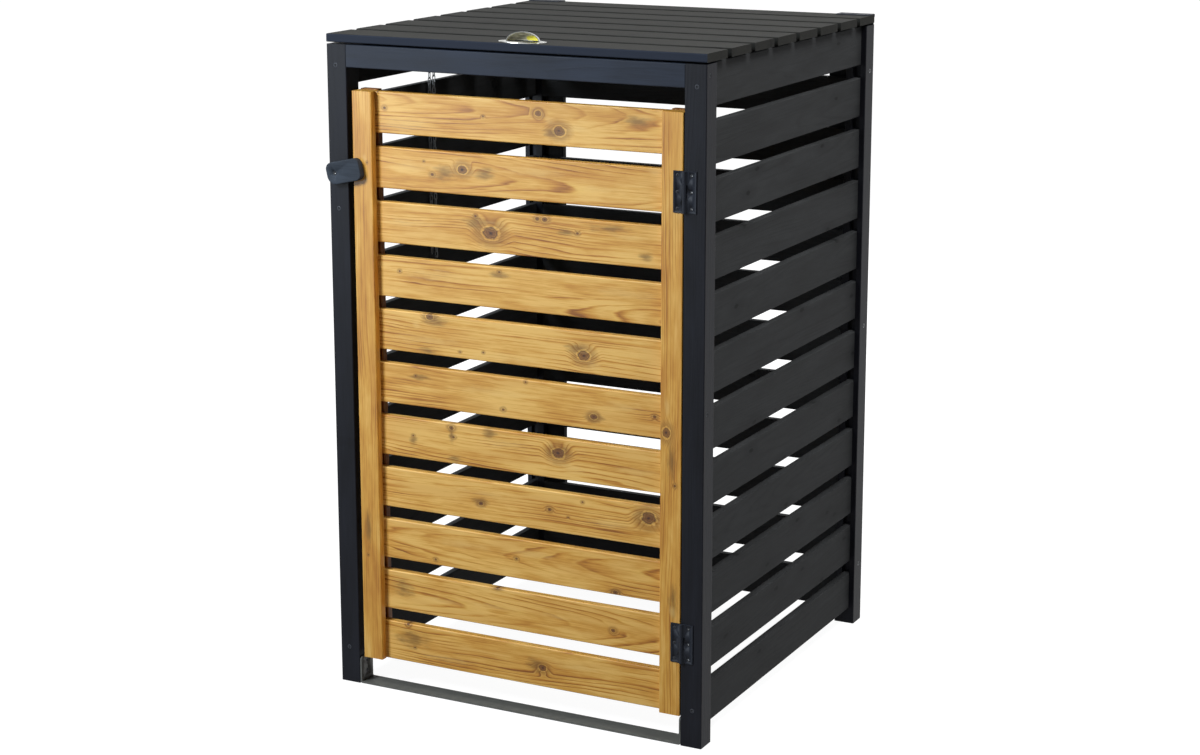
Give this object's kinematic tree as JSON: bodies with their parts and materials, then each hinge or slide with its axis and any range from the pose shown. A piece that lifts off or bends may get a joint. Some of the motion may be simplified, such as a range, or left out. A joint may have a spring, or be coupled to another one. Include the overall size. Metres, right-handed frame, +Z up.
{
  "type": "wheelie bin store",
  "caption": "Slatted timber cabinet for a wheelie bin, with a lid hinged at the rear, a side-hinged slatted door, a turn button, a cup pull and a floor strip",
  "frame": {"origin": "on the floor, below the middle of the whole part's box", "axes": "+Z up, the door faces -Y, +X to the right seen from the front"},
  "size_m": [0.7, 0.741, 1.16],
  "materials": {
    "anthracite_timber": "opaque dark grey paint on planed softwood, grain faintly visible",
    "stained_timber": "honey-brown stained softwood with knots and grain",
    "black_steel": "dark painted steel",
    "dark_screws": "dark painted screw heads",
    "bright_screws": "zinc plated",
    "galvanised_steel": "dull galvanised strip",
    "stainless_steel": "polished stainless",
    "chain_steel": "zinc plated wire"
  },
  "bodies": {
    "cabinet": {"post_front_left": "anthracite_timber", "post_front_right": "anthracite_timber", "post_rear_left": "anthracite_timber", "post_rear_right": "anthracite_timber", "rail_front_top": "anthracite_timber", "rail_rear_top": "anthracite_timber", "side_boards_left": "anthracite_timber", "side_boards_right": "anthracite_timber", "rear_boards": "anthracite_timber", "rear_laths": "anthracite_timber", "threshold_strip": "galvanised_steel", "threshold_screws": "bright_screws", "frame_screws": "dark_screws", "lid_hinge_leaves_frame": "black_steel", "lid_hinge_pins": "black_steel", "lid_hinge_screws_frame": "dark_screws", "door_hinge_upper_leaf_post": "black_steel", "door_hinge_lower_leaf_post": "black_steel", "door_hinge_pins": "black_steel", "door_hinge_screws_post": "dark_screws", "latch_screw": "dark_screws", "wall_eye": "chain_steel"},
    "lid": {"lid_board_1": "anthracite_timber", "lid_board_2": "anthracite_timber", "lid_board_3": "anthracite_timber", "lid_board_4": "anthracite_timber", "lid_board_5": "anthracite_timber", "lid_board_6": "anthracite_timber", "lid_board_7": "anthracite_timber", "lid_board_8": "anthracite_timber", "lid_batten_left": "anthracite_timber", "lid_batten_right": "anthracite_timber", "lid_hinge_leaves_lid": "black_steel", "lid_hinge_screws_lid": "dark_screws", "cup_pull": "stainless_steel", "cup_pull_screws": "bright_screws", "lid_eye": "chain_steel"},
    "door": {"door_slat_01": "stained_timber", "door_slat_02": "stained_timber", "door_slat_03": "stained_timber", "door_slat_04": "stained_timber", "door_slat_05": "stained_timber", "door_slat_06": "stained_timber", "door_slat_07": "stained_timber", "door_slat_08": "stained_timber", "door_slat_09": "stained_timber", "door_slat_10": "stained_timber", "door_slat_11": "stained_timber", "door_stile_left": "stained_timber", "door_stile_right": "stained_timber", "door_batten_left": "stained_timber", "door_batten_right": "stained_timber", "door_hinge_upper_leaf_door": "black_steel", "door_hinge_lower_leaf_door": "black_steel", "door_hinge_screws_door": "dark_screws"},
    "latch": {"latch_button": "anthracite_timber"},
    "chain_wall": {"chain_wall_half": "chain_steel"},
    "chain_lid": {"chain_lid_half": "chain_steel"}
  },
  "joints": [
    {"name": "door_swing", "type": "hinge", "parent": "cabinet", "child": "door", "pos_m": [0.314, -0.3617, 0.9245], "axis": [0, 0, 1], "range_deg": [0, 180]},
    {"name": "lid_swing", "type": "hinge", "parent": "cabinet", "child": "lid", "pos_m": [0, 0.3673, 1.1416], "axis": [-1, 0, 0], "range_deg": [0, 110]},
    {"name": "latch_turn", "type": "hinge", "parent": "cabinet", "child": "latch", "pos_m": [-0.3313, -0.3585, 0.9097], "axis": [0, -1, 0], "range_deg": [-102.5, 77.5]},
    {"name": "chain_wall_swing", "type": "hinge", "parent": "cabinet", "child": "chain_wall", "pos_m": [-0.3185, -0.0802, 1.071], "axis": [1, 0, 0], "range_deg": [0, 131.3]},
    {"name": "chain_lid_swing", "type": "hinge", "parent": "lid", "child": "chain_lid", "pos_m": [-0.3095, -0.0802, 1.118], "axis": [1, 0, 0], "range_deg": [0, 61.3]}
  ],
  "couplings": [
    {"joint": "chain_wall_swing", "follows": "lid_swing", "ratio": 1.1891},
    {"joint": "chain_lid_swing", "follows": "lid_swing", "ratio": 0.5527}
  ]
}
